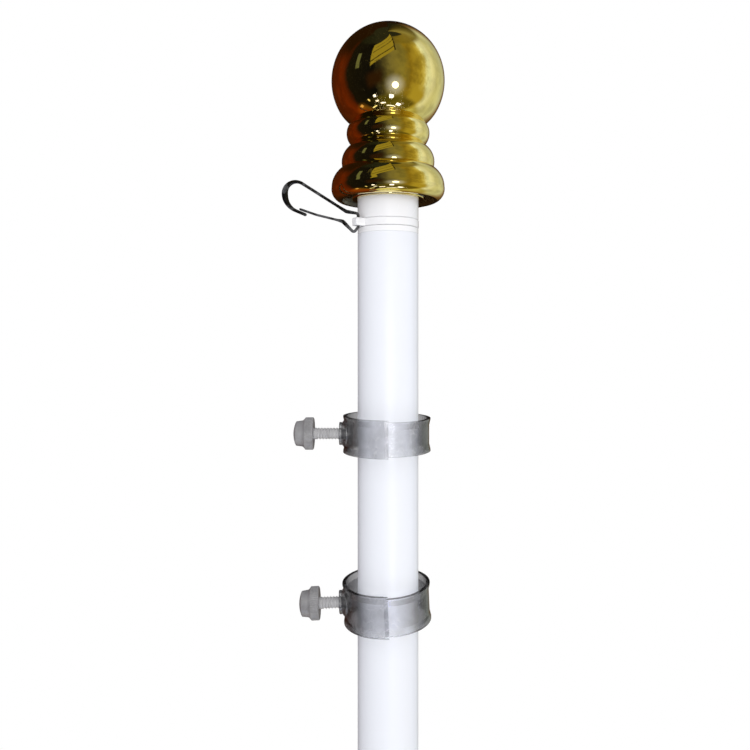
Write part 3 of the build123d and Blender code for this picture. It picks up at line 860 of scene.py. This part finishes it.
# What stands round the object in the studio. Directions are in degrees: compass 0 is the front and
# 90 the side away from the hook, rise is the angle above level. A card's rise runs along its slant.
surroundings = {
    "ambient": (0.64, 0.646, 0.67),
    "middle": [
        (-180, (0.012, 0.006, 0.003)), (-165, (0.03, 0.010, 0.003)), (-140, (0.085, 0.016, 0.003)),
        (-110, (0.13, 0.019, 0.002)), (-98, (0.10, 0.016, 0.002)), (-86, (0.010, 0.008, 0.006)),
        (-30, (0.006, 0.006, 0.008)), (-16, (0.05, 0.045, 0.03)), (4, (0.17, 0.155, 0.075)),
        (30, (0.25, 0.22, 0.07)), (44, (0.26, 0.19, 0.025)), (68, (0.40, 0.32, 0.06)),
        (77, (0.56, 0.50, 0.20)), (85, (0.88, 1.0, 1.15)), (100, (0.80, 0.86, 0.95)),
        (112, (0.62, 0.66, 0.58)), (140, (0.62, 0.68, 0.60)), (158, (0.20, 0.12, 0.05)),
        (170, (0.02, 0.01, 0.005)), (180, (0.012, 0.006, 0.003))],
    "low": [
        (-180, (0.07, 0.035, 0.006)), (-140, (0.12, 0.022, 0.003)), (-104, (0.24, 0.05, 0.006)),
        (-88, (0.20, 0.09, 0.012)), (-76, (0.015, 0.012, 0.006)), (-36, (0.03, 0.026, 0.008)),
        (-16, (0.11, 0.095, 0.012)), (30, (0.16, 0.14, 0.03)), (60, (0.30, 0.29, 0.15)),
        (76, (0.15, 0.11, 0.02)), (86, (0.42, 0.34, 0.08)), (100, (0.55, 0.53, 0.22)),
        (140, (0.4, 0.34, 0.14)), (156, (0.16, 0.08, 0.02)), (180, (0.07, 0.035, 0.006))],
    "high": [
        (-180, (0.012, 0.012, 0.008)), (-120, (0.012, 0.010, 0.006)), (-70, (0.018, 0.020, 0.015)),
        (0, (0.026, 0.028, 0.023)), (8, (0.17, 0.14, 0.04)), (40, (0.20, 0.16, 0.03)),
        (84, (0.22, 0.18, 0.05)), (110, (0.27, 0.25, 0.11)), (130, (0.16, 0.14, 0.05)),
        (150, (0.07, 0.055, 0.015)), (170, (0.02, 0.02, 0.012)), (180, (0.012, 0.012, 0.008))],
    "lowFrom": (-38, -50), "highFrom": (52, 60),
    # each card: compass from and to, rise from and to, slant, softness of its edge and colour
    "cards": {
        "dimLeft": ((-200, -92), (34, 110), 0.0, 24.0, (0.02, 0.008, 0.002)),
        "goldLow": ((52, 90), (-60, -16), 0.0, 16.0, (0.45, 0.36, 0.06)),
        "darkGold": ((40, 84), (-68, -43), 0.0, 12.0, (0.14, 0.11, 0.015)),
        "darkCeiling": ((-200, 84), (74, 110), 0.0, 3.0, (0.022, 0.024, 0.018)),
        "goldenBlind": ((-36.5, 14), (35.5, 74), 0.6, 1.2, (0.34, 0.28, 0.045)),
        "blindFoot": ((-40, 16), (42.5, 44.5), 0.6, 0.8, (0.02, 0.018, 0.01)),
        "blindTop": ((-30, 16), (65.5, 66.5), 0.6, 0.8, (0.10, 0.08, 0.02)),
        "blindMiddle": ((-34, 16), (57.5, 59), 0.6, 0.8, (0.05, 0.04, 0.012)),
        "blindSide": ((14, 17), (34, 78), 0.6, 0.8, (0.015, 0.012, 0.008)),
        "palePost": ((-68, -60), (14, 38), 0.0, 1.5, (0.15, 0.17, 0.11)),
        "brownPatch": ((-44, -12), (-16, 8), 0.2, 15.0, (0.028, 0.012, 0.005)),
        "tableLampA": ((3, 14), (-51, -42), 0.0, 1.0, (3.0, 3.2, 6.0)),
        "tableLampB": ((34, 53), (-67.5, -61), 0.0, 1.0, (3.0, 3.2, 6.0)),
        "tableEdge": ((-8, 40), (-72.5, -70.5), 0.0, 0.7, (2.4, 2.5, 4.5)),
        "sparkA": ((-40, -33), (-45, -39), 0.0, 1.0, (2.6, 2.7, 5.0)),
        "sparkB": ((-42, -32), (-57, -53.5), 0.0, 1.0, (2.2, 2.2, 3.6)),
        "sparkC": ((-30, -10), (-65, -61.5), 0.0, 1.0, (2.6, 2.6, 4.6)),
        "sparkD": ((-76, -52), (-67, -64.5), 0.0, 0.8, (1.6, 1.5, 1.2)),
        "sparkE": ((-60, -56), (-50, -44), 0.0, 1.0, (1.4, 1.2, 0.8)),
        "sparkF": ((-96, -86), (-50, -45), 0.0, 2.0, (0.9, 0.5, 0.2)),
        "underTable": ((-200, 200), (-95, -77), 0.0, 3.0, (0.82, 0.80, 0.50)),
    },
    "glow": {"compass": 14.2, "rise": -23.2, "reach": 24.0, "colour": (0.36, 0.43, 1.0)},
}


def makeWorld(plan):
    world = bpy.data.worlds.new("studioRoom")
    bpy.context.scene.world = world
    world.use_nodes = True
    tree = world.node_tree
    background = tree.nodes["Background"]

    def calc(operation, *values):
        return addNode(tree, "ShaderNodeMath", dict(enumerate(values)), operation=operation).outputs[0]

    def span(value, low, high, toLow=0.0, toHigh=1.0):
        return addNode(tree, "ShaderNodeMapRange", {0: value, 1: low, 2: high, 3: toLow, 4: toHigh},
            interpolation_type="SMOOTHSTEP").outputs[0]

    def overlay(mask, below, above):
        return addNode(tree, "ShaderNodeMix", {0: mask, 6: below, 7: above}, data_type="RGBA").outputs[2]

    direction = addNode(tree, "ShaderNodeTexCoord").outputs["Generated"]
    split = addNode(tree, "ShaderNodeSeparateXYZ", {0: direction})
    front = calc("MULTIPLY", split.outputs[1], -1.0)
    compass = calc("MULTIPLY", calc("ARCTAN2", split.outputs[0], front), 180 / math.pi)
    rise = calc("MULTIPLY", calc("ARCSINE", split.outputs[2]), 180 / math.pi)
    ripple = addNode(tree, "ShaderNodeTexNoise",
        {"Vector": direction, "Scale": 2.6, "Detail": 5.0, "Roughness": 0.6}).outputs["Fac"]
    wander = span(ripple, 0.3, 0.7, -4.0, 4.0)
    turned = span(calc("ADD", compass, wander), -180, 180)
    turned.node.interpolation_type = "LINEAR"
    walls = []
    for level in ("middle", "low", "high"):
        stops = [((angle + 180) / 360, colour) for angle, colour in plan[level]]
        walls.append(ramp(tree, turned, stops))
    room = overlay(span(rise, *plan["lowFrom"]), walls[0], walls[1])
    room = overlay(span(rise, *plan["highFrom"]), room, walls[2])
    clutter = span(ripple, 0.35, 0.65, 0.82, 1.15)
    room = addNode(tree, "ShaderNodeMix", {0: 1.0, 6: room, 7: clutter}, data_type="RGBA",
        blend_type="MULTIPLY").outputs[2]
    for compassSpan, riseSpan, slant, soft, colour in plan["cards"].values():
        masks = []
        slantRise = calc("SUBTRACT", rise, calc("MULTIPLY", compass, slant))
        for value, (low, high) in ((compass, compassSpan), (slantRise, riseSpan)):
            away = calc("ABSOLUTE", calc("SUBTRACT", value, (low + high) / 2))
            half = (high - low) / 2
            masks.append(span(away, half - soft / 2, half + soft / 2, 1.0, 0.0))
        room = overlay(calc("MULTIPLY", *masks), room, (*colour, 1))
    glow = plan["glow"]
    narrowing = math.cos(math.radians(glow["rise"]))
    aside = calc("MULTIPLY", calc("SUBTRACT", compass, glow["compass"]), narrowing)
    above = calc("SUBTRACT", rise, glow["rise"])
    away = calc("SQRT", calc("ADD", calc("MULTIPLY", aside, aside), calc("MULTIPLY", above, above)))
    haze = addNode(tree, "ShaderNodeMix",
        {0: span(away, 2.0, glow["reach"], 1.0, 0.0), 6: (0, 0, 0, 1), 7: (*glow["colour"], 1)},
        data_type="RGBA").outputs[2]
    room = addNode(tree, "ShaderNodeMix", {0: 1.0, 6: room, 7: haze}, data_type="RGBA",
        blend_type="ADD").outputs[2]
    lightPath = addNode(tree, "ShaderNodeLightPath")
    lit = overlay(lightPath.outputs["Is Glossy Ray"], (*plan["ambient"], 1), room)
    clear = calc("MAXIMUM", lightPath.outputs["Is Camera Ray"], lightPath.outputs["Is Transmission Ray"])
    tree.links.new(overlay(clear, lit, (1, 1, 1, 1)), background.inputs["Color"])
    background.inputs["Strength"].default_value = 1.0


makeWorld(surroundings)

cameraPlan = {"place": (-0.00545, -0.2937, 1.426), "lens": 33.6, "shiftY": -0.06}


def makeCamera(plan):
    data = bpy.data.cameras.new("shopCamera")
    data.lens = plan["lens"]
    data.sensor_width = 36.0
    data.shift_y = plan["shiftY"]
    data.clip_start, data.clip_end = 0.01, 100
    camera = bpy.data.objects.new("shopCamera", data)
    camera.location = plan["place"]
    camera.rotation_euler = (math.radians(90), 0, 0)
    bpy.context.scene.collection.objects.link(camera)
    bpy.context.scene.camera = camera
    bpy.context.scene.view_settings.view_transform = "Standard"


makeCamera(cameraPlan)
print("studio made")
